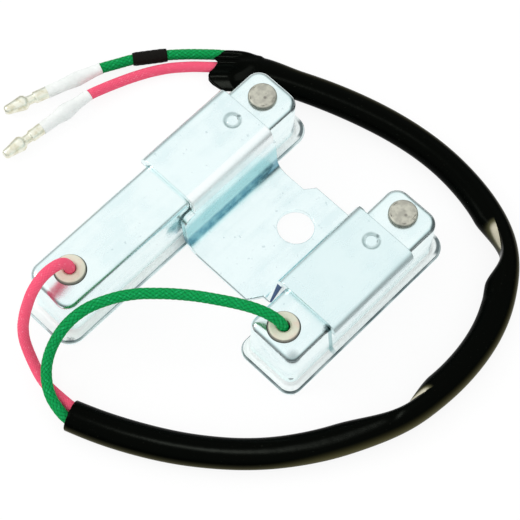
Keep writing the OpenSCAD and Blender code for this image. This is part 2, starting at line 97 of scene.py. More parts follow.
def smooth_route(points, softness):
    """Straight runs between the points, cut into steps of a tenth of a millimetre, then averaged with
    a bell-shaped weight. The ends are mirrored through themselves, so that they stay where they are."""
    points = np.asarray(points, float)
    reach = np.r_[0, np.cumsum(np.linalg.norm(np.diff(points, axis=0), axis=1))]
    at = np.linspace(0, reach[-1], int(reach[-1] / STEP) + 1)
    line = np.stack([np.interp(at, reach, points[:, k]) for k in range(3)], axis=1)
    half = int(4 * softness / STEP)
    bell = np.exp(-0.5 * (np.arange(-half, half + 1) * STEP / softness) ** 2)
    padded = np.concatenate([2 * line[0] - line[half:0:-1], line, 2 * line[-1] - line[-2:-half - 2:-1]])
    return np.stack([np.convolve(padded[:, k], bell / bell.sum(), "valid") for k in range(3)], axis=1)


def lengths_along(line):
    """Distance from the start at each point of a line."""
    return np.r_[0, np.cumsum(np.linalg.norm(np.diff(line, axis=0), axis=1))]


def stations(line, at):
    """Points of a line at the given distances from its start."""
    reach = lengths_along(line)
    return np.stack([np.interp(at, reach, line[:, k]) for k in range(3)], axis=1)


def headings(line):
    """Unit direction at each point of a line, from its neighbours on both sides."""
    way = np.gradient(line, axis=0)
    return way / np.linalg.norm(way, axis=1, keepdims=True)


def level_frames(line):
    """Left and up of a line that lies on the table: left is level, up is square to the line and left."""
    way = headings(line)
    left = np.cross([0.0, 0.0, 1.0], way)
    left /= np.linalg.norm(left, axis=1, keepdims=True)
    return left, np.cross(way, left)


def carried_frames(line, first):
    """Left and up carried along a line without twist: each left is the one before it, made square
    to the new direction."""
    way = headings(line)
    left = np.empty_like(line)
    side = np.asarray(first, float)
    for k, heading in enumerate(way):
        side = side - heading * (side @ heading)
        side /= np.linalg.norm(side)
        left[k] = side
    return left, np.cross(way, left)


print("path helpers ready")

# %% [markdown]
# ## From a grid to a mesh
# A swept surface is a grid of points, with a row for each section and a column for each place round
# it. Sections could be bridged by an operator, but on a grid the faces follow from counting alone, and
# the same count gives each corner its UV.


# %% Turn a grid of points into a mesh
def new_piece(name, verts, faces, corner_uv, **values):
    """Mesh object in metres from points in millimetres, with a UV per face corner and named point values."""
    mesh = bpy.data.meshes.new(name)
    mesh.from_pydata((np.asarray(verts) * MM).tolist(), [], faces)
    mesh.uv_layers.new(name="along").data.foreach_set("uv", np.asarray(corner_uv, np.float32).ravel())
    for key, value in values.items():
        mesh.attributes.new(key, "FLOAT", "POINT").data.foreach_set("value", np.asarray(value, np.float32).ravel())
    mesh.polygons.foreach_set("use_smooth", np.full(len(mesh.polygons), True))
    mesh.update()
    piece = bpy.data.objects.new(name, mesh)
    scene.collection.objects.link(piece)
    print(f"{name}: {len(verts)} points, {len(faces)} faces")
    return piece


def lattice(along, cols, close_rows):
    """Faces of a grid that closes round its columns, with a row for each distance along, and the UV of their
    corners: the share of a turn, and the distance."""
    rows = len(along)
    i, j = np.meshgrid(np.arange(rows if close_rows else rows - 1), np.arange(cols), indexing="ij")
    row = np.stack([i, i, i + 1, i + 1], axis=-1).reshape(-1, 4) % rows
    col = np.stack([j, j + 1, j + 1, j], axis=-1).reshape(-1, 4)
    return (row * cols + col % cols).tolist(), np.stack([col / cols, along[row]], axis=-1).reshape(-1, 2)


def swept_piece(name, line, along, frames, left_offset, up_offset, closed_ring=False, **values):
    """Every point is the path's point, plus left times its left offset, plus up times its up offset. Along is
    each section's distance from the start, for the UV. The ends are capped, or with closed_ring the last
    section joins the first, as the wall of a hose does."""
    left, up_way = frames
    verts = line[:, None] + left[:, None] * left_offset[..., None] + up_way[:, None] * up_offset[..., None]
    rows, cols = left_offset.shape
    faces, corner_uv = lattice(along, cols, closed_ring)
    if not closed_ring:
        faces.append(list(range(cols))[::-1])
        faces.append(list(range((rows - 1) * cols, rows * cols)))
        caps = [np.tile([0.0, end], (cols, 1)) for end in (along[0], along[-1])]
        corner_uv = np.concatenate([corner_uv, *caps])
    return new_piece(name, verts.reshape(-1, 3), faces, corner_uv, **values)


def bump_at(x, centre, width):
    """Bell of height 1 at a centre."""
    return np.exp(-0.5 * ((x - centre) / width) ** 2)


def ease(x, start, end):
    """Smooth step: 0 before start, 1 after end, with level ends."""
    t = np.clip((x - start) / (end - start), 0, 1)
    return t * t * (3 - 2 * t)


print("mesh helpers ready")

# %% [markdown]
# ## Route of the sleeve
# The sleeve lies on the table, from the front round the right side and the back. A hand-drawn curve
# would do, but a list of points can be compared with the solid sleeve, whose route this is.

# %% Route of the sleeve
SLEEVE_Z = 3.5
sleeve_route = np.array([
    (-2.9, -70.9), (2.9, -68.7), (8.4, -66.1), (14.5, -62.8), (20.4, -59.1), (25.8, -55), (30.9, -50.6),
    (35.7, -45.6), (39.8, -40.3), (43.6, -34.5), (46.8, -28.2), (49.6, -22), (51.5, -16.4), (52.3, -10.6),
    (52.8, -4.9), (52.7, 0.8), (52.1, 6.2), (50.8, 11.8), (48.9, 16.8), (46.2, 21.5), (43.3, 25.8), (39.8, 29.3),
    (35.5, 32.1), (30.6, 34.2), (25.6, 35.6), (21, 36.4), (16.9, 36.9), (11.7, 37.1), (6.4, 36.8), (-0.1, 35.9),
    (-6.8, 34.4), (-13, 32.6), (-19.1, 30.5), (-23.8, 28.6), (-28.4, 26.6), (-32.6, 24.6), (-36.3, 22.5),
    (-39.5, 20.2), (-41.9, 18), (-43.8, 15.9)])
sleeve_line = smooth_route(np.c_[sleeve_route, np.full(len(sleeve_route), SLEEVE_Z)], softness=3)
SLEEVE_LENGTH = lengths_along(sleeve_line)[-1]
print("sleeve length", round(SLEEVE_LENGTH, 1), "mm")

# %% [markdown]
# ## Routes of the two leads
# The pink lead rises from the long resistor's bush in a small arch, drops over the end of the can and
# runs into the sleeve. The green one leaves the short resistor in a wider arch, crosses the front and
# dives in beside it. A simulation would let them settle elsewhere than in the picture, so these are
# the routes of the solid cords, with more points where the picture shows a finer bend.

# %% Routes of the two leads
LEAD_R = 1.33
LEAD_SOFTNESS = 1.3
PINCH_A, PINCH_B = 81.0, 129.0
BESIDE = 1.38


def inside_sleeve(side, start, end):
    """Stations of a lead in the sleeve: beside the middle on its own side, pushed outwards and one over
    the other where the sleeve is pinched, and to the outer side in the flat far mouth."""
    at = np.arange(start, end, 3.0)
    line = stations(sleeve_line, at)
    left, _ = level_frames(line)
    near_a, near_b = bump_at(at, PINCH_A, 7), bump_at(at, PINCH_B, 6)
    turn = 0.5 * np.pi * near_b + 0.32 * np.pi * near_a
    drift = ease(at, SLEEVE_LENGTH - 17, SLEEVE_LENGTH - 3.5)
    off = side * BESIDE * np.cos(turn) - (1.77 * near_b + 1.18 * near_a) - drift * (3.4 - 0.2 * side)
    height = SLEEVE_Z - 0.45 - side * BESIDE * np.sin(turn) + 0.55 * near_b - drift * (0.85 + 0.15 * side)
    return np.c_[line[:, :2] + left[:, :2] * off[:, None], np.maximum(height, LEAD_R + 0.35)]


pink_route = np.concatenate([
    [(-24.5, -49.5, 14.4), (-24.5, -49.5, 19.1), (-25.1, -50, 20.2), (-25.2, -51.4, 22), (-25.2, -54.7, 23.3),
     (-25.2, -57.6, 22.8), (-24.9, -60.5, 20.8), (-25.1, -62, 16.9), (-25.1, -63.2, 14.1), (-24.3, -65.2, 10.4),
     (-23.1, -66.4, 6.6), (-21.4, -67.1, 4.1), (-18.5, -68.1, 2.2), (-15.6, -69, 1.5), (-12.9, -69.5, 1.45),
     (-9.8, -69.5, 1.8), (-5.2, -69.4, 2.5), (-2.3, -69.2, 3)],
    inside_sleeve(1, 6, SLEEVE_LENGTH - 4),
    [(-44.6, 17.5, 2), (-46.5, 15.9, 1.7), (-48.6, 14.2, 1.5), (-52.7, 9.6, 1.45), (-55.4, 5.3, 1.45),
     (-57.6, 0.6, 1.55), (-59.4, -4.7, 2), (-60.9, -10.2, 2.65), (-61.8, -18.75, 2.39)]])
green_route = np.concatenate([
    [(20, -25.5, 14.4), (20, -25.5, 16.6), (19.3, -25.9, 19), (17.5, -26.7, 20.8), (15, -27.8, 21.7),
     (12.3, -29.1, 21.8), (9.5, -30.5, 21.4), (6.9, -31.9, 20.9), (4.1, -33.4, 20.2), (1.4, -34.9, 19.5),
     (-1.2, -36.6, 18.8), (-3.8, -38.5, 18.3), (-8.5, -42.9, 18), (-11.2, -46.4, 17.8), (-13, -49.5, 17.4),
     (-14.6, -52.6, 16.8), (-15.6, -55.8, 15.8), (-16.1, -59.2, 14.3), (-16.1, -61.8, 12.3), (-16, -63.7, 10.3),
     (-15.5, -65.7, 8.1), (-14.4, -67.7, 6.2), (-12.6, -69.4, 5.1), (-10.3, -70.9, 4.4), (-8.1, -71.7, 4.1),
     (-5.6, -72.1, 3.8), (-3.1, -72.3, 3.4)],
    inside_sleeve(-1, 5, SLEEVE_LENGTH - 5),
    [(-46.1, 20.7, 2.4), (-49, 18.3, 2), (-52, 15.6, 1.8), (-55.4, 11.9, 1.8), (-58.25, 8.15, 1.8),
     (-61, 4.5, 1.8), (-62.5, 0.9, 2.2), (-64.3, -3, 2.65), (-67.04, -11.14, 2.39)]])
pink_line = smooth_route(pink_route, LEAD_SOFTNESS)
green_line = smooth_route(green_route, LEAD_SOFTNESS)
print("pink and green lead, mm:", [round(lengths_along(line)[-1], 1) for line in (pink_line, green_line)])

# %% [markdown]
# ## Braided leads
# Each lead is a wire in a woven glass cover. A weave could be a bump in the finish alone, but then
# the edge of the lead stays a plain line, so the strands are raised on the surface itself. Two sets
# of strands wind in opposite ways, and where they cross, one lies over the other by turns. The rings
# are close together where the lead shows, and wide apart where the sleeve hides it.

# %% Make the leads
LEAD_COLS = 48
FINE, COARSE = 0.14, 1.0
STRIP = 8.4
WIRE_R = 0.8


def weave(u, v, strands, pitch):
    """Height of a braid from 0 to 1: two sets of round-topped strands, one winding left and one right.
    The set on top changes from crossing to crossing, as on a chessboard."""
    one, two = strands * u + v / pitch, strands * u - v / pitch
    crown = [1 - (2 * (w - np.floor(w)) - 1) ** 2 for w in (one, two)]
    over = (np.floor(one) + np.floor(two)) % 2 == 0
    return np.where(over, crown[0], crown[1])


def braided_lead(name, line, first, shown, strands, pitch, relief):
    """Tube whose radius is the cover's, less the relief, plus the relief times the height of the braid. The
    cover ends a strip before the far end, and the bare wire goes on thinner into the terminal."""
    total = lengths_along(line)[-1]
    near, far = shown
    at = np.concatenate([np.arange(0, near, FINE), np.arange(near, total - far, COARSE),
                         np.arange(total - far, total, FINE)])
    path = stations(line, at)
    angle = np.arange(LEAD_COLS) / LEAD_COLS
    height = weave(angle[None, :], at[:, None], strands, pitch)
    bare = ease(at, total - STRIP, total - STRIP + 0.25)[:, None]
    radius = (LEAD_R - relief + relief * height) * (1 - bare) + WIRE_R * bare
    around = 2 * np.pi * angle
    piece = swept_piece(name, path, at, carried_frames(path, first), radius * np.cos(around),
                        radius * np.sin(around), strand=height, bare=np.broadcast_to(bare, height.shape))
    return piece, path, total


pink_lead, pink_path, pink_total = braided_lead(
    "pink_lead_braided", pink_line, (1, 0, 0), (56, 60), strands=12, pitch=0.9, relief=0.05)
green_lead, green_path, green_total = braided_lead(
    "green_lead_braided", green_line, (0, 1, 0), (100, 62), strands=8, pitch=1.5, relief=0.12)

# %% [markdown]
# ## Soft black sleeve
# The sleeve is a thin vinyl hose. Where it is bent hard its inner wall buckles, and its far mouth has
# been pressed flat over the two leads. A tube with a bend modifier would stay round, so each section
# is worked out by itself: a flattened ring, folded in from the inside of the bend at two places, and
# spread with two ridges at the far mouth. Walking out along the outside and back along the inside
# gives the wall its thickness.

# %% Make the sleeve
SLEEVE_WALL = 0.6
SLEEVE_COLS = 112
LIP_BULGE = 0.18
# A fold: where it begins, starts and ends, its top angle and depth. Then how far the painted highlight below its
# edge fades.
FOLDS = (62, PINCH_A, PINCH_A + 8, 78, 0.58), (119, PINCH_B, PINCH_B + 9.5, 92, 0.92)
HIGHLIGHT_FADE = 0.04, 0.22
# A dent: its depth, its place and width along the sleeve, its angle and width round it.
DENTS = (0.07, 116, 1.0, 45, 0.5), (0.08, 75.7, 1.0, 75, 0.35), (0.05, 60, 14, 100, 0.25)
# The uneven cut of the far mouth: left offset, and how far the edge goes on there.
MOUTH = np.array([(-7, -3.9), (-5.2, -3.0), (-4.2, -2.0), (-3.3, -0.4), (-2.6, -1.0), (-1.7, -1.5), (-0.8, -0.6),
                  (0, 0.7), (0.6, 1.0), (1.2, 0.9), (2.4, 0), (3.4, -1.3), (4.6, -3)])


def sleeve_fold(at, angle, begin, start, end, top, depth):
    """How far the inner wall is pulled in, from 0 to depth, how far below the fold's edge a point lies, as an
    angle, and how much of the lobe shows, from 0 to 1. The wall leans in from begin to start. From there to
    end a lobe comes out again below a slanting edge, which climbs along the sleeve to the angle top."""
    way = (at - start) / (end - start)
    edge = np.radians(-100 + 117 * ease(at, start - 4, start) + (top - 17) * np.clip(way, 0, 1.6))
    above = ease(angle, edge - 0.12, edge + 0.12)
    pull = depth * ease(at, begin, start) * (above + (1 - above) * (1 - np.clip(way, 0, 1)) ** 1.5)
    return pull * ease(1.6 - way, 0, 0.5), edge - angle, ease(way, -0.05, 0.04) * (1 - ease(way, 0.5, 0.85))


def sleeve_section(at, angle, inset):
    """Left offset, height over the table and shift along the path of the sleeve's surface, and the strength of
    its painted highlight. A ring with an inner and an outer half width and a half height b is pulled in by
    its folds and a few shallow dents, and over the far mouth it turns into a low arch with a ridge over each
    lead. Just below the edge of its fold a lobe gets a painted highlight, which falls off at two rates."""
    at = at[:, None]
    angle = (angle[None, :] + 0.5 * np.pi) % (2 * np.pi) - 0.5 * np.pi
    to_end = SLEEVE_LENGTH - at
    folds = [sleeve_fold(at, angle, *fold) for fold in FOLDS]
    pulled = folds[0][0] + folds[1][0]
    a_in = (3.68 + 0.1 * np.sin(at / 9.0) + 0.1 * bump_at(at, 119, 4)) * (1 - pulled) \
        + 0.8 * (1 - ease(to_end, 3, 10))
    a_out = 3.85 + 0.06 * np.sin(at / 9.0) + 0.9 * (1 - ease(to_end, 11, 22)) + 0.5 * (1 - ease(to_end, 10.8, 12)) \
        + 1.9 * (1 - ease(to_end, 3, 11))
    b = 3.3 + 0.1 * np.sin(at / 13.0 + 1) + 0.4 * bump_at(at, PINCH_B, 6) + 0.2 * bump_at(at, PINCH_A, 8) \
        - 0.2 * ease(at, 140, 165)
    size = 1 - sum(depth * bump_at(at, place, long) * bump_at(angle, np.radians(turn), wide)
                   for depth, place, long, turn, wide in DENTS)
    off = (np.where(np.cos(angle) > 0, a_in, a_out) - inset) * np.cos(angle) * size
    high = b + (b - inset) * np.sin(angle) * size
    flat = 1 - ease(to_end, 4, 13)
    arch = 1.35 + 3.1 * bump_at(off, -5.0, 1.15) + 2.6 * bump_at(off, -1.8, 1.1) - 0.4 * ease(off, 1.5, 4.5)
    lift = np.where(np.sin(angle) > 0, (arch - inset) * np.abs(np.sin(angle)) ** 0.55,
                    (0.35 - inset * 0.5) * np.sin(angle))
    high = high * (1 - flat) + (0.55 + lift) * flat
    cut = np.interp(off, *MOUTH.T) * (1 - ease(to_end, 0, 12))
    # Painted highlight on each lobe, strongest just below its fold's edge.
    lobe_highlights = []
    for (_, below, shown), wide in zip(folds, HIGHLIGHT_FADE):
        under = np.maximum(below, 0)
        lobe_highlights.append(shown * (below > -0.1) * (0.7 * np.exp(-under / wide) + 0.3 * np.exp(-under / (4 * wide))))
    return off, np.maximum(high, 0.02 + inset), cut, np.maximum(*lobe_highlights)


def hose_piece(name, line, section, at):
    """Closed wall of a hose: out along its surface, round the far lip, back along its bore and round
    the near lip, all as one grid that joins up in both directions. It gives the piece and the centres of
    its outer rings."""
    angle = 2 * np.pi * np.arange(SLEEVE_COLS) / SLEEVE_COLS
    lip = np.array([0.25, 0.75]) * SLEEVE_WALL
    path_at = np.concatenate([at, [at[-1], at[-1]], at[::-1], [at[0], at[0]]])
    inset = np.concatenate([np.zeros(len(at)), lip, np.full(len(at), SLEEVE_WALL), lip[::-1]])
    bulge = np.concatenate([np.zeros(len(at)), [LIP_BULGE] * 2, np.zeros(len(at)), [-LIP_BULGE] * 2])
    off, high, shift, crease = section(path_at, angle, inset[:, None])
    reach = lengths_along(line)
    place = np.clip(path_at[:, None] + shift + bulge[:, None], -1, reach[-1] + 3)
    way = headings(line)
    spot = np.stack([np.interp(place, reach, line[:, k]) for k in range(2)], axis=-1)
    over = np.maximum(place - reach[-1], 0) + np.minimum(place, 0)
    heading = np.stack([np.interp(place, reach, way[:, k]) for k in range(2)], axis=-1)
    left = np.stack([-heading[..., 1], heading[..., 0]], axis=-1)
    flat = spot + heading * over[..., None] + left * off[..., None]
    verts = np.concatenate([flat, high[..., None]], axis=-1)
    piece = new_piece(name, verts.reshape(-1, 3), *lattice(path_at, SLEEVE_COLS, True), crease=crease)
    return piece, verts[:len(at)].mean(axis=1)


sleeve_at = np.concatenate([
    np.arange(0, 72, 1.2), np.arange(72, 95, 0.4), np.arange(95, 112, 1.2), np.arange(112, 143, 0.4),
    np.arange(143, SLEEVE_LENGTH - 18.5, 1.2), np.linspace(SLEEVE_LENGTH - 18, SLEEVE_LENGTH, 66)])
black_sleeve, sleeve_path = hose_piece("lead_sleeve_soft", sleeve_line, sleeve_section, sleeve_at)

# %% [markdown]
# ## Clear terminal covers and the shrunk band
# Each bullet terminal has a milky vinyl cover, pushed over the crimp, that swells in the middle. The
# green lead also carries a short black band, shrunk tight so that the braid shows through. All three
# are hoses on a straight axis, so they are turned shapes: a radius that depends on the distance
# along, carried round the axis.

# %% Make the covers and the band
TURNED_COLS = 40


def turned_hose(name, start, way, at, outer, wall, wobble=0.0):
    """Turned wall: the outer radius outwards along the axis, the same less the wall on the way back.
    A wobble makes the radius a little uneven round the axis, as a soft cover is."""
    start, way = np.asarray(start, float), np.asarray(way, float) / np.linalg.norm(way)
    angle = 2 * np.pi * np.arange(TURNED_COLS) / TURNED_COLS
    path_at = np.concatenate([at, at[::-1]])
    radius = np.concatenate([outer, outer[::-1] - wall])[:, None]
    radius = radius * (1 + wobble * np.sin(2 * angle[None, :] + path_at[:, None] * 0.5))
    line = start + way * path_at[:, None]
    left = np.cross([0.0, 0.0, 1.0], way)
    left /= np.linalg.norm(left)
    frames = (np.broadcast_to(left, line.shape), np.broadcast_to(np.cross(way, left), line.shape))
    return swept_piece(name, line, path_at, frames, radius * np.cos(angle), radius * np.sin(angle), closed_ring=True)


def cover_radius(at, swell, middle, width):
    """Radius of a cover: close on the lead, swollen over the crimp, a little wider at its far end."""
    return 1.48 + swell * bump_at(at, middle, width) + 0.13 * ease(at, 9, 12)


COVER = np.linspace(0, 14.6, 60)
COVER_WALL, COVER_WOBBLE = 0.1, 0.015
pink_cover, green_cover = (
    turned_hose(f"{lead}_clear_cover", start, way, COVER, cover_radius(COVER, *swollen), COVER_WALL, COVER_WOBBLE)
    for lead, start, way, swollen in (
        ("pink", (-60.9, -10.2, 2.65), (-0.104, -0.994, -0.03), (0.6, 7.4, 1.7)),
        ("green", (-64.3, -3, 2.65), (-0.319, -0.947, -0.03), (0.38, 6.8, 2.2))))
band_from, band_to = np.array([-55.3, 12.1, 1.8]), np.array([-61.2, 4.2, 1.8])
BAND_HALF, BAND_WALL = 4.3, 0.4
BAND = np.linspace(-BAND_HALF, BAND_HALF, 50)
band_radius = 1.72 - 0.14 * (np.abs(BAND) / BAND_HALF) ** 8 + 0.02 * np.sin(BAND * 4.2)
shrink_band = turned_hose("green_band_shrunk", (band_from + band_to) / 2, band_to - band_from, BAND, band_radius,
                          BAND_WALL)

# %% [markdown]
# ## The soft pieces take the solids' places
# The imported model carries a plain solid for each of these pieces. Each new piece is attached to the one
# body, and the solid it stands for is hidden.

for piece, node, slot in (
        (pink_lead, "pink_lead", "pink_insulation"), (green_lead, "green_lead", "green_braid"),
        (black_sleeve, "lead_sleeve", "black_sleeve"), (shrink_band, "green_shrink_band", "black_shrink"),
        (pink_cover, "pink_clear_sleeve", "clear_vinyl"), (green_cover, "green_clear_sleeve", "clear_vinyl")):
    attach(piece, "root")
    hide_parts(node)

# %% [markdown]
# ## Smooth edges on the solid parts
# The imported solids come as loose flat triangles, and their meshes are not edited. A live modifier can
# still join them, round the sheared edges a little, and shade curved faces smoothly. A small geometry
# group does the joining and the shading by angle, because the mesh itself keeps its flat faces.

# %% Rounding and smooth shading by modifiers
JOIN = 2e-6
SMOOTH_BELOW, ROUND_ABOVE = (math.radians(a) for a in (32, 40))


def smoothing_group(name, limit):
    """Geometry group: merge the loose corners, shade every face smooth, and keep edges sharper than the
    limit as sharp ones."""
    group = bpy.data.node_groups.new(name, "GeometryNodeTree")
    for way in ("INPUT", "OUTPUT"):
        group.interface.new_socket("Geometry", in_out=way, socket_type="NodeSocketGeometry")
    entry, leave = group.nodes.new("NodeGroupInput"), group.nodes.new("NodeGroupOutput")
    merge = group.nodes.new("GeometryNodeMergeByDistance")
    merge.inputs["Distance"].default_value = JOIN
    faces = group.nodes.new("GeometryNodeSetShadeSmooth")
    edges = group.nodes.new("GeometryNodeSetShadeSmooth")
    edges.domain = "EDGE"
    edges.inputs["Shade Smooth"].default_value = False
    bend = group.nodes.new("GeometryNodeInputMeshEdgeAngle")
    sharp = group.nodes.new("FunctionNodeCompare")
    sharp.operation = "GREATER_THAN"
    sharp.inputs[1].default_value = limit
    for a, b in ((entry.outputs[0], merge.inputs["Geometry"]), (merge.outputs[0], faces.inputs["Geometry"]),
                 (faces.outputs[0], edges.inputs["Geometry"]), (bend.outputs[0], sharp.inputs[0]),
                 (sharp.outputs[0], edges.inputs["Selection"]), (edges.outputs[0], leave.inputs[0])):
        group.links.new(a, b)
    return group


smooth_faces = smoothing_group("smooth_faces", SMOOTH_BELOW)


def dress_solid(node, round_edge):
    """Join and smooth a solid part, and round its sharp edges to the given radius in millimetres."""
    piece = parts[node]
    if round_edge:
        join = piece.modifiers.new("join", "WELD")
        join.merge_threshold = JOIN
        edge = piece.modifiers.new("round", "BEVEL")
        edge.width = round_edge * MM
        edge.segments = 3
        edge.limit_method = "ANGLE"
        edge.angle_limit = ROUND_ABOVE
        edge.use_clamp_overlap = False
    shade = piece.modifiers.new("shade", "NODES")
    shade.node_group = smooth_faces


dress_solid("mounting_bracket", 0.12)
for which in ("long", "short"):
    dress_solid(f"{which}_case", 0)
    dress_solid(f"{which}_base_plate", 0.15)
    dress_solid(f"{which}_lead_bush", 0.35)
    dress_solid(f"{which}_ground_rivet", 0.2)
    for inner in ("former", "winding", "front_cap", "rear_cap", "lead_link", "ground_strap", "cement"):
        dress_solid(f"{which}_{inner}", 0)
for lead in ("pink", "green"):
    dress_solid(f"{lead}_bullet", 0.15)
print("solid parts dressed")

# %% [markdown]
# ## A way to write finishes
# A finish is a tree of shader nodes. Wiring them by hand is long, so a socket is wrapped in a small
# class that understands sums: `1 - mask` adds the Math node by itself. Every other node comes
# from one method that takes the node's type, its settings and what goes into its sockets.


# %% Sockets that can be added and multiplied
class Value:
    """A shader socket that takes part in Python sums."""

    def __init__(self, finish, socket):
        self.finish, self.socket = finish, socket

    def _sum(self, operation, first, second):
        return self.finish.add("ShaderNodeMath", {"operation": operation}, {0: first, 1: second})

    def __add__(self, other):
        return self._sum("ADD", self, other)

    def __sub__(self, other):
        return self._sum("SUBTRACT", self, other)

    def __rsub__(self, other):
        return self._sum("SUBTRACT", other, self)

    def __mul__(self, other):
        return self._sum("MULTIPLY", self, other)

    def __truediv__(self, other):
        return self._sum("DIVIDE", self, other)

    def __pow__(self, other):
        return self._sum("POWER", self, other)

    def __or__(self, other):
        return self._sum("MAXIMUM", self, other)

    __radd__, __rmul__ = __add__, __mul__


class Finish:
    """One procedural material, and the single method that adds nodes to it."""

    def __init__(self, name):
        self.material = bpy.data.materials.new(name)
        self.material.use_nodes = True
        self.tree = self.material.node_tree
        self.tree.nodes.clear()

    def add(self, kind, settings=None, sockets=None, out=0):
        """Add a node of this kind: set its settings (stops fill a ramp), then its sockets, by value or by link."""
        node = self.tree.nodes.new(kind)
        for key, value in (settings or {}).items():
            if key == "stops":
                ramp = node.color_ramp.elements
                while len(ramp) < len(value):
                    ramp.new(0.5)
                for stop, (place, colour) in zip(ramp, value):
                    stop.position, stop.color = place, colour
            else:
                setattr(node, key, value)
        for key, value in (sockets or {}).items():
            if isinstance(value, Value):
                self.tree.links.new(value.socket, node.inputs[key])
            else:
                node.inputs[key].default_value = value
        return Value(self, node.outputs[out]) if node.outputs else None

    def here(self):
        """Object coordinates of the shaded point, in metres."""
        return self.add("ShaderNodeTexCoord", out=3)

    def place(self, scale=(1.0, 1.0, 1.0)):
        """Object coordinates times a scale for each axis."""
        return self.add("ShaderNodeMapping", {}, {"Vector": self.here(), "Scale": scale})

    def noise(self, size, detail, where=None):
        """Cloudy value from 0 to 1 whose lumps are about size millimetres across."""
        return self.add("ShaderNodeTexNoise", {}, {
            "Vector": where or self.place(), "Scale": 1 / (size * MM), "Detail": detail})

    def ramp(self, value, low, high, smooth=True):
        """Value stretched so that low becomes 0 and high becomes 1, and held there."""
        return self.add("ShaderNodeMapRange", {"interpolation_type": "SMOOTHSTEP" if smooth else "LINEAR"},
                        {"Value": value, "From Min": low, "From Max": high})

    def axis(self, which):
        """Object coordinate along x, y or z, in millimetres."""
        return self.add("ShaderNodeSeparateXYZ", {}, {0: self.here()}, out="XYZ".index(which)) / MM

    def apart(self, x, y, z):
        """Distance in millimetres from a place on the part."""
        return self.add("ShaderNodeVectorMath", {"operation": "DISTANCE"},
                        {0: self.here(), 1: (x * MM, y * MM, z * MM)}, out=1) / MM

    def reach(self, x, y):
        """Distance in millimetres from an upright axis."""
        return ((self.axis("X") - x) ** 2 + (self.axis("Y") - y) ** 2) ** 0.5

    def spot(self, x, y, z, size, ragged):
        """Stain from 1 at a place to 0 at size millimetres from it, its edge made uneven by a noise."""
        return self.ramp(self.apart(x, y, z) + (ragged - 0.5) * size, size, 0.35 * size)

    def mix(self, factor, first, second):
        """Colour between first and second."""
        return self.add("ShaderNodeMix", {"data_type": "RGBA"}, {0: factor, 6: first, 7: second}, out=2)

    def bump(self, height, depth, strength):
        """Normal of a surface raised by height times depth millimetres."""
        return self.add("ShaderNodeBump", {}, {"Height": height, "Distance": depth * MM, "Strength": strength})

    def surface(self, **sockets):
        """Principled shader with these sockets, joined to the output. Underscores stand for spaces."""
        named = {key.replace("_", " "): value for key, value in sockets.items()}
        shader = self.add("ShaderNodeBsdfPrincipled", {}, named)
        self.add("ShaderNodeOutputMaterial", {}, {"Surface": shader})
        return self.material


def rgb(r, g, b):
    """A colour with full opacity."""
    return (r, g, b, 1.0)


def put_on(finish, *pieces):
    """Give pieces this one material."""
    for piece in pieces:
        piece.data.materials.clear()
        piece.data.materials.append(finish)


print("finish helpers ready")

# %% [markdown]
# ## Zinc plating
# The bracket and the cans are bright zinc with a pale blue passivation. A mirror would be too clean:
# real plating is slightly cloudy, with fine grain, rolling streaks along the sheet and a few dull
# specks, so colour, roughness and a shallow bump all vary at those three scales. Each part also has a
# function for its own marks and its painted light: painted shade, painted reflections, and painted
# highlights where a bend or a wall's foot is painted matt white.

# %% Plated steel
# Dark colour for real stains, and for painted shade in gaps, seams and corners.
STAIN_AND_SHADE = rgb(0.05, 0.09, 0.10)
STRAP_TOP = 18.1
WELDS = (-24.8, 19.9)
REAR_CORNERS = (-20.9, 24.1)


def zinc(name, bright, dull, marks_and_painted_light, edge):
    """Metal whose colour and gloss follow clouds of 7 mm, streaks along the sheet and grain of 0.45 mm.
    The marks function adds this part's own marks, its painted shade and its painted highlights to the colour,
    and says where it is matt. Edge is the radius in millimetres that its sharp edges are shaded round with."""
    f = Finish(name)
    cloud = f.noise(7, detail=4)
    streak = f.noise(2.2, detail=3, where=f.place((1.0, 0.06, 1.0)))
    grain = f.noise(0.45, detail=2)
    speck = f.ramp(f.noise(1.1, detail=1), 0.72, 0.78)
    dullness = f.ramp(cloud * 0.6 + streak * 0.4, 0.42, 0.68)
    colour = f.mix(dullness, bright, dull)
    colour = f.mix(speck * 0.3, colour, rgb(0.35, 0.46, 0.5))
    colour, matt = marks_and_painted_light(f, colour, grain)
    return f.surface(
        Base_Color=colour, Metallic=1 - matt,
        Roughness=0.17 + 0.12 * dullness + 0.06 * grain + 0.15 * speck + 0.4 * matt,
        Normal=f.add("ShaderNodeBump", {}, {
            "Height": cloud * 0.8 + grain * 0.1 - speck * 0.15, "Distance": 0.1 * MM, "Strength": 0.45,
            "Normal": f.add("ShaderNodeBevel", {"samples": 6}, {"Radius": edge * MM})}))


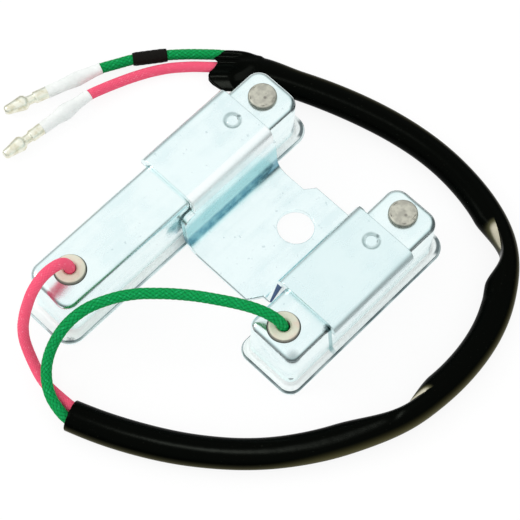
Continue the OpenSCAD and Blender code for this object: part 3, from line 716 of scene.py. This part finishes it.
def bracket_marks(f, colour, grain):
    """A grey ring round each spot weld, and a painted reflection on the wall beside the long can: a teal
    face with a darker band low down. A dark blue wedge of painted shade on the end of the wall beside the
    short one, and grey cut edges round the web, darkened further as painted shade. The bend over the long
    wall is painted white, a painted highlight. The short strap is a shade darker, and its lip is matt."""
    x, y, z = (f.axis(k) for k in "XYZ")
    colour = f.mix(f.ramp(x, 10.5, 12.5) * f.ramp(z, 15.5, 17) * 0.45, colour, rgb(0.70, 0.87, 0.88))
    broken = f.ramp(f.noise(2.0, detail=2), 0.3, 0.65)
    for weld in WELDS:
        from_weld = f.apart(weld, 3.5, STRAP_TOP)
        ring = f.ramp(from_weld, 1.1, 1.8) * f.ramp(from_weld, 2.5, 1.9)
        colour = f.mix(ring * (0.45 + 0.3 * broken), colour, rgb(0.27, 0.38, 0.38))
        colour = f.mix(f.spot(weld + 0.2, 5.4, STRAP_TOP, 0.6, grain) * 0.6, colour, STAIN_AND_SHADE)
    # Painted shade: a dark blue wedge for the gap between the end of the wall and the short can.
    gap_shade = f.ramp(x - 0.1525 * z, 8.8, 8.95) * f.ramp(x, 14, 13) * f.ramp(y, -17.9, -18.2)
    gap_shade = gap_shade * f.ramp(z, 0.4, 1.2) * f.ramp(z, 15.6, 15)
    colour = f.mix(gap_shade, colour, rgb(0.0, 0.06, 0.2))
    # Grey cut edges round the web, darkened further as painted shade.
    rim_shade = f.ramp(z, 0.7, 0.9) * f.ramp(z, 1.57, 1.48) * f.ramp(x, -12.5, -11.5)
    rim_shade = rim_shade * f.ramp(x, 11, 10) * f.ramp(f.reach(0, 0), 6, 7)
    colour = f.mix(rim_shade * 0.75, colour, rgb(0.10, 0.14, 0.15))
    # Painted reflection on the wall beside the long can: teal, with a darker band low down.
    wall = f.ramp(x, -10.4, -12.2) * f.ramp(x, -18.6, -17.4)
    colour = f.mix(wall * f.ramp(z, 12.5, 9.5) * f.ramp(z, 2.4, 3.2) * 0.9, colour, rgb(0.42, 0.70, 0.73))
    low = wall * f.ramp(z, 6.4, 5.0) * f.ramp(z, 2.5, 3.3) * (0.6 + 0.4 * broken)
    colour = f.mix(low, colour, rgb(0.15, 0.34, 0.43))
    # Painted highlight: the bend over the long wall is painted matt white.
    bend = f.ramp(x, -18.7, -17.7) * f.ramp(x, -14.6, -15.2) * f.ramp(z, 13.2, 14.6)
    lip = f.ramp(x, 27.6, 28.2) * f.ramp(z, 14, 15)
    return f.mix(bend * 0.85, colour, rgb(0.96, 1, 1)), gap_shade * 0.9 + bend * 0.35 + lip * 0.25


def case_marks(f, colour, grain):
    """Painted shade in the seam over the base plate, a few small dark spots on the ends and the walls, and dark
    arcs at the rear corners: painted shade on the flange and a painted dark reflection on the top. A painted
    teal reflection on the long can's wall beside the bracket, and a painted dark reflection on the short
    can's front corner. The foot of the wall is painted matt white, a painted highlight."""
    z = f.axis("Z")
    # Painted highlight: the foot of the wall is painted matt white.
    foot_highlight = f.ramp(z, 1.45, 1.62) * f.ramp(z, 3.4, 2.7)
    colour = f.mix(foot_highlight * 0.8, colour, rgb(0.97, 1, 0.99))
    # Painted shade in the seam over the base plate, darker towards the right.
    seam_shade = f.ramp(z, 0.80, 0.84) * f.ramp(z, 1.58, 1.48)
    colour = f.mix(seam_shade * (0.5 + 0.35 * f.ramp(f.axis("X"), 0, 10)), colour, STAIN_AND_SHADE)
    for place, size in (((27.05, -30.0, 5.0), 0.8), ((-16.7, -58.4, 1.6), 1.6)):
        colour = f.mix(f.spot(*place, size, grain) * 0.8, colour, STAIN_AND_SHADE)
    # Painted shade in an arc on each rear corner of the flange, and a painted dark reflection at the rear corner of
    # the top.
    for corner in REAR_CORNERS:
        below = f.ramp(f.apart(corner + 3.7, 20.4, 1.3), 3.2, 1.8) * f.ramp(z, 2.2, 1.9)
        above = f.ramp(f.apart(corner + 3.0, 18.0, 15.4), 2.4, 1.4) * f.ramp(z, 14.3, 15)
        corner_shade_and_reflection = f.ramp(f.reach(corner + 0.7, 17.6), 3.2, 3.6) * below
        corner_shade_and_reflection = corner_shade_and_reflection + 0.7 * f.ramp(f.reach(corner, 15.9), 2.3, 2.9) * above
        colour = f.mix(corner_shade_and_reflection * 0.9, colour, STAIN_AND_SHADE)
    # Painted reflection of the bracket's wall, teal, on the long can's wall.
    colour = f.mix(f.spot(-17.3, -24.0, 11.0, 2.6, grain) * 0.7, colour, rgb(0.22, 0.46, 0.48))
    # Painted dark reflection on the front corner of the short can's top.
    colour = f.mix(f.ramp(f.apart(26.4, -29.1, 15.5), 2.4, 0.5) * 0.6, colour, rgb(0.18, 0.24, 0.25))
    return colour, foot_highlight * 0.75


def lip_reflection_and_shade_marks(f, colour, grain):
    """The marks of a can, and a teal streak of painted reflection and shade down the short one's wall beside the
    strap's lip, with a painted shadow under the lip's corner.
    """
    colour, matt = case_marks(f, colour, grain)
    # Painted reflection and shade: a teal streak down the short can's wall beside the strap's lip.
    off_line = (f.axis("Y") + 0.0975 * f.axis("Z") + 16.95) ** 2
    streak = f.ramp(off_line, 0.5, 0.15) * f.ramp(f.axis("X"), 26.9, 27.4) * f.ramp(f.axis("Z"), 1.2, 2.2)
    colour = f.mix(streak * 0.75, colour, rgb(0.18, 0.42, 0.44))
    # Painted shadow under the corner of the strap's lip.
    return f.mix(f.spot(27.2, -18.7, 15.8, 1.5, grain) * 0.8, colour, STAIN_AND_SHADE), matt


def plate_marks(f, colour, grain):
    """A base plate is clean but for its grain, and for painted shade on the rim of its top round the can, patchy and
    darker to the right.
    """
    # Painted shade on the rim of the top round the can, patchy and darker towards the right.
    patches = f.ramp(f.noise(9, detail=2), 0.4, 0.6)
    plate_seam_shade = f.ramp(f.axis("Z"), 0.68, 0.77) * (0.2 + 0.3 * f.ramp(f.axis("X"), 0, 10) + 0.35 * patches)
    return f.mix(plate_seam_shade, f.mix(grain * 0.15, colour, rgb(0.55, 0.66, 0.68)), STAIN_AND_SHADE), grain * 0.1


BRACKET_TONES = rgb(0.86, 0.98, 0.985), rgb(0.78, 0.92, 0.935)
CASE_TONES = rgb(0.87, 0.985, 0.985), rgb(0.79, 0.93, 0.94)
for name, tones, marks, edge, nodes in (
        ("bracket_zinc", BRACKET_TONES, bracket_marks, 0.35, ["mounting_bracket"]),
        ("long_case_zinc", CASE_TONES, case_marks, 0.08, ["long_case"]),
        ("short_case_zinc", CASE_TONES, lip_reflection_and_shade_marks, 0.08, ["short_case"]),
        ("base_plate_zinc", CASE_TONES, plate_marks, 0.08, ["long_base_plate", "short_base_plate"])):
    put_on(zinc(name, *tones, marks, edge), *(parts[node] for node in nodes))
print("plating finished")

# %% [markdown]
# ## Rivets, bushes and terminals
# The rivet heads are plain steel, flattened by a press and stained, with a dark ring of painted shade
# round the front of each head. The bushes are unglazed ceramic with a peach tinge and a dark ring of
# painted shade round their sides, and the terminals are tinned brass, a warm white metal. Each is a mix
# of two or three tones led by noise of the right size.

# %% Small hard parts
RIVETS = (-24.7, 13.6), (20.1, 14.2)
BUSHES = (-24.5, -49.5), (20.0, -25.5)
f = Finish("rivet_steel")
blotch = f.noise(1.6, detail=4)
pit = f.ramp(f.noise(0.55, detail=2), 0.62, 0.72)
tone = f.mix(f.ramp(blotch, 0.35, 0.65), rgb(0.46, 0.45, 0.39), rgb(0.64, 0.63, 0.54))
for x, y in RIVETS:
    from_axis = f.reach(x, y)
    # Painted shade: a dark ring round the front of each head, and the painted shade of a small pit.
    rim_shade = f.ramp(from_axis, 3.2, 3.45) * f.ramp(from_axis, 4.2, 3.8) * f.ramp(f.axis("Y") - y, 1.5, -1.0)
    tone = f.mix(rim_shade * 0.6, tone, rgb(0.10, 0.095, 0.085))
    tone = f.mix(f.ramp(f.reach(x + 0.9, y - 0.1), 0.5, 0.25) * 0.5, tone, rgb(0.12, 0.11, 0.10))
rivet_steel = f.surface(Base_Color=f.mix(pit * 0.5, tone, rgb(0.25, 0.24, 0.21)), Metallic=1.0,
                        Roughness=0.42 + 0.2 * blotch, Normal=f.bump(blotch - pit * 0.5, 0.12, 0.8))

f = Finish("bush_ceramic")
blotch = f.noise(2.4, detail=3)
grain = f.noise(0.3, detail=2)
tone = f.mix(f.ramp(blotch, 0.5, 0.75), rgb(0.72, 0.72, 0.58), rgb(0.74, 0.63, 0.51))
for x, y in BUSHES:
    from_axis = f.reach(x, y)
    # Painted shade: a dark ring round the side of each bush.
    rim_shade = f.ramp(from_axis, 3.42, 3.62) * f.ramp(from_axis, 4.6, 4.2)
    tone = f.mix(rim_shade * 0.8, tone, rgb(0.08, 0.08, 0.07))
bush_ceramic = f.surface(Base_Color=f.mix(f.ramp(grain, 0.55, 0.75) * 0.4, tone, rgb(0.55, 0.52, 0.43)),
                         Roughness=0.62 + 0.2 * grain, Normal=f.bump(grain, 0.05, 0.6))

f = Finish("tinned_terminal")
wear = f.noise(1.3, detail=4)
ring = f.noise(0.35, detail=1)
tinned_terminal = f.surface(
    Base_Color=f.mix(f.ramp(wear, 0.4, 0.68), rgb(0.90, 0.90, 0.78), rgb(0.74, 0.71, 0.55)), Metallic=1.0,
    Roughness=0.3 + 0.18 * wear, Normal=f.bump(wear + 0.2 * ring, 0.05, 0.5))
for which in ("long", "short"):
    put_on(rivet_steel, parts[f"{which}_ground_rivet"])
    put_on(bush_ceramic, parts[f"{which}_lead_bush"])
put_on(tinned_terminal, parts["pink_bullet"], parts["green_bullet"])
print("small parts finished")

# %% [markdown]
# ## The element inside
# A ceramic former with a wound ribbon, two caps and a filling of cement sit inside each can. They are
# sealed from view, but a section or an opened part shows them, so they get finishes of their own.

# %% Inner parts
f = Finish("former_ceramic")
grain = f.noise(0.5, detail=3)
former_ceramic = f.surface(Base_Color=f.mix(grain, rgb(0.72, 0.70, 0.64), rgb(0.82, 0.80, 0.75)),
                           Roughness=0.55 + 0.2 * grain)
f = Finish("resistance_ribbon")
heat = f.noise(1.2, detail=3)
resistance_ribbon = f.surface(Base_Color=f.mix(heat, rgb(0.36, 0.33, 0.30), rgb(0.52, 0.48, 0.45)),
                              Metallic=1.0, Roughness=0.35 + 0.2 * heat)
f = Finish("cement_fill")
sand = f.noise(0.35, detail=4)
cement_fill = f.surface(Base_Color=f.mix(sand, rgb(0.50, 0.48, 0.44), rgb(0.68, 0.66, 0.62)),
                        Roughness=0.85 + 0.1 * sand, Normal=f.bump(sand, 0.15, 0.8))
for which in ("long", "short"):
    put_on(former_ceramic, parts[f"{which}_former"])
    put_on(resistance_ribbon, parts[f"{which}_winding"])
    put_on(cement_fill, parts[f"{which}_cement"])
    put_on(tinned_terminal, *(parts[f"{which}_{n}"] for n in ("front_cap", "rear_cap", "lead_link", "ground_strap")))
print("inner parts finished")

# %% [markdown]
# ## Lead covers
# The woven covers are varnished glass yarn, saturated on the crowns of the strands, with painted shade
# in the gaps. The height of the weave was stored on the points, so colour and gloss can follow it. Past
# the strip the same tube is bare tinned wire.


# %% Braided covers
def braid(name, shaded_gap, crown, light):
    """Yarn colour with painted shade in the gaps, rising to the crown of a strand, flecked by noise, and bare wire
    past the strip.
    """
    f = Finish(name)
    height = f.add("ShaderNodeAttribute", {"attribute_name": "strand"}, out=2)
    bare = f.add("ShaderNodeAttribute", {"attribute_name": "bare"}, out=2)
    fleck = f.noise(0.7, detail=3)
    # Painted shade: the yarn is darker down in the gaps between the strands.
    yarn = f.mix(f.ramp(height, 0.05, 0.75), shaded_gap, crown)
    yarn = f.mix(f.ramp(fleck, 0.52, 0.72) * f.ramp(height, 0.4, 1.0), yarn, light)
    return f.surface(Base_Color=f.mix(bare, yarn, rgb(0.8, 0.78, 0.7)), Metallic=bare * 0.9,
                     Roughness=0.55 - 0.1 * height + 0.15 * fleck, Normal=f.bump(fleck, 0.03, 0.5),
                     Specular_IOR_Level=0.08)


put_on(braid("pink_insulation", rgb(0.70, 0.06, 0.14), rgb(0.91, 0.107, 0.195), rgb(0.95, 0.24, 0.33)), pink_lead)
put_on(braid("green_braid", rgb(0.0, 0.10, 0.025), rgb(0.0, 0.31, 0.07), rgb(0.02, 0.45, 0.16)), green_lead)
print("lead covers finished")

# %% [markdown]
# ## Vinyl
# The sleeve is soft black vinyl with a narrow gloss. It has a painted olive sheen along its outer flank,
# and a painted highlight on the lobe below each fold. The band is the duller black of shrunk tube. The
# covers are milky clear vinyl. Real glass in the shader would be slow, so they get some alpha, and the
# crimp shows through faintly.

# %% Black and clear vinyl
f = Finish("black_sleeve")
ripple = f.noise(3.0, detail=3)
dust = f.ramp(f.noise(0.5, detail=2), 0.68, 0.75)
crease = f.add("ShaderNodeAttribute", {"attribute_name": "crease"}, out=2)
where = f.add("ShaderNodeUVMap", {"uv_map": "along"})
turned, along = (f.add("ShaderNodeSeparateXYZ", {}, {0: where}, out=k) for k in (0, 1))
beyond, far = f.ramp(along, 40, 62), f.ramp(along, 145, 175)
# Painted sheen: an olive band along the sleeve's outer flank.
flank_sheen = f.ramp(turned + 0.015 + 0.045 * beyond + 0.05 * far, 0.42, 0.55) * f.ramp(turned, 0.62, 0.54)
flank_sheen = flank_sheen * (0.8 + 0.2 * beyond - 0.5 * far) * f.ramp(along, SLEEVE_LENGTH - 12, SLEEVE_LENGTH - 24)
tone = f.mix(dust * 0.12, rgb(0.0006, 0.0009, 0.0006), rgb(0.05, 0.05, 0.04))
tone = f.mix(flank_sheen * 0.9, tone, rgb(0.075, 0.069, 0.028))
# Painted highlight: pale on the lobe just below each fold.
tone = f.mix(f.ramp(crease, 0.0, 0.4), tone, rgb(0.075, 0.072, 0.035))
black_vinyl = f.surface(
    Base_Color=f.mix(f.ramp(crease, 0.3, 1.0), tone, rgb(0.62, 0.58, 0.45)),
    Roughness=0.18 + 0.08 * ripple + 0.2 * dust, Normal=f.bump(ripple, 0.12, 0.3),
    Specular_IOR_Level=0.02, Specular_Tint=rgb(0.9, 1.0, 0.85),
    Sheen_Weight=0.025, Sheen_Roughness=0.3, Sheen_Tint=rgb(0.75, 0.72, 0.38))
f = Finish("black_shrink")
grain = f.noise(0.4, detail=3)
black_shrink = f.surface(Base_Color=f.mix(grain, rgb(0.003, 0.0025, 0.002), rgb(0.010, 0.009, 0.007)),
                         Roughness=0.5 + 0.2 * grain, Normal=f.bump(grain, 0.04, 0.5), Specular_IOR_Level=0.07)
f = Finish("clear_vinyl")
haze = f.noise(3.0, detail=3)
clear_vinyl = f.surface(Base_Color=f.mix(haze, rgb(0.94, 0.99, 0.96), rgb(0.99, 1.0, 0.99)),
                        Roughness=0.25 + 0.15 * haze, Alpha=0.66 + 0.3 * haze)
put_on(black_vinyl, black_sleeve)
put_on(black_shrink, shrink_band)
put_on(clear_vinyl, pink_cover, green_cover)
print("vinyl finished")

# %% [markdown]
# ## The studio
# The picture is a bright product shot: white table, white sky, and thin dark lines along every rounded
# edge. Such lines are the reflection of dark cards that stand low round the table, so a ring of card is
# set up here, unseen by the camera. The table shows white to the camera and keeps a faint shadow, and
# only its middle shows in reflections. A small lamp overhead is linked to the sleeve alone, for its
# gloss, because on the metal it would burn out.

# %% Table, cards and light
SEGMENTS = 96
MIDDLE_Y, TABLE_Z = -0.013, -1e-4
TABLE_HOLE, TABLE_NEAR, TABLE_FAR = 0.0002, 0.082, 3.0
CARD_R, CARD_FOOT, CARD_TOP = 1.2, -0.6, 0.85


def stage_piece(name, verts, faces, material):
    """A plain mesh in metres that belongs to the studio and not to the object."""
    mesh = bpy.data.meshes.new(name)
    mesh.from_pydata(verts, [], faces)
    mesh.materials.append(material)
    piece = bpy.data.objects.new(name, mesh)
    scene.collection.objects.link(piece)
    return piece


f = Finish("white_table")
rays = f.add("ShaderNodeLightPath").socket.node.outputs
seen, mirrored, through = (Value(f, rays[f"Is {n} Ray"]) for n in ("Camera", "Glossy", "Transmission"))
paint = f.add("ShaderNodeBsdfDiffuse", {}, {"Color": rgb(0.88, 0.88, 0.88)})
glow = f.add("ShaderNodeEmission", {}, {"Color": rgb(1, 1, 1), "Strength": 1.03})
white = f.add("ShaderNodeMixShader", {}, {0: (seen | mirrored | through) * 0.85, 1: paint, 2: glow})
f.add("ShaderNodeOutputMaterial", {}, {"Surface": white})
turn = np.linspace(0, 2 * np.pi, SEGMENTS + 1)[:-1]
around = np.stack([np.cos(turn), np.sin(turn)], axis=1)


def hoop(name, rings, material):
    """Band between two level circles, each given by its radius and height, about the middle of the picture."""
    verts = np.concatenate([np.c_[r * around + (0, MIDDLE_Y), np.full(SEGMENTS, z)] for r, z in rings])
    here, beside = np.arange(SEGMENTS), (np.arange(SEGMENTS) + 1) % SEGMENTS
    faces = np.stack([here, beside, SEGMENTS + beside, SEGMENTS + here], axis=1)
    return stage_piece(name, verts.tolist(), faces.tolist(), material)


hoop("table", [(TABLE_HOLE, TABLE_Z), (TABLE_NEAR, TABLE_Z)], f.material)
outer_table = hoop("table_beyond", [(TABLE_NEAR, TABLE_Z), (TABLE_FAR, TABLE_Z)], f.material)
outer_table.visible_glossy = False

f = Finish("graded_card")
tones = [(0.0, 0.32), (0.3, 0.16), (0.52, 0.16), (0.62, 0.42), (0.8, 0.85), (1.0, 1.0)]
tone = f.add("ShaderNodeValToRGB", {"stops": [(at, rgb(0.9 * t, t, t)) for at, t in tones]},
             {0: f.ramp(f.axis("Z"), CARD_FOOT / MM, CARD_TOP / MM, smooth=False)})
tone = f.mix(f.ramp(f.axis("X"), 200, -1000) * 0.35, tone, rgb(1, 1, 1))
light = f.add("ShaderNodeEmission", {}, {"Color": tone, "Strength": 1.0})
f.add("ShaderNodeOutputMaterial", {}, {"Surface": light})
cards = hoop("graded_cards", [(CARD_R, CARD_FOOT), (CARD_R, CARD_TOP)], f.material)
cards.visible_camera = False
cards.visible_diffuse = False

world = bpy.data.worlds.new("white_sky")
scene.world = world
world.use_nodes = True
sky = world.node_tree.nodes["Background"].inputs
sky["Color"].default_value, sky["Strength"].default_value = rgb(1, 1, 1), 1.0


def softbox(name, place, aim, size, power):
    """Square area lamp at a place, turned to an aim, in metres and watts."""
    lamp = bpy.data.lights.new(name, "AREA")
    lamp.size, lamp.energy = size, power
    box = bpy.data.objects.new(name, lamp)
    scene.collection.objects.link(box)
    box.location = place
    box.rotation_mode = "QUATERNION"
    box.rotation_quaternion = (Vector(aim) - Vector(place)).to_track_quat("-Z", "Y")
    return box


softbox("key", (-0.7, -0.5, 0.6), (0, 0, 0), 0.4, 2.0)
glint = softbox("glint", (0.0, -0.05, 1.0), (0, 0, 0), 0.2, 3.5)
glint.visible_diffuse = False
glint.light_linking.receiver_collection = bpy.data.collections.new("glossy_vinyl")
glint.light_linking.receiver_collection.objects.link(black_sleeve)
scene.view_settings.view_transform = "Standard"
print("studio ready")
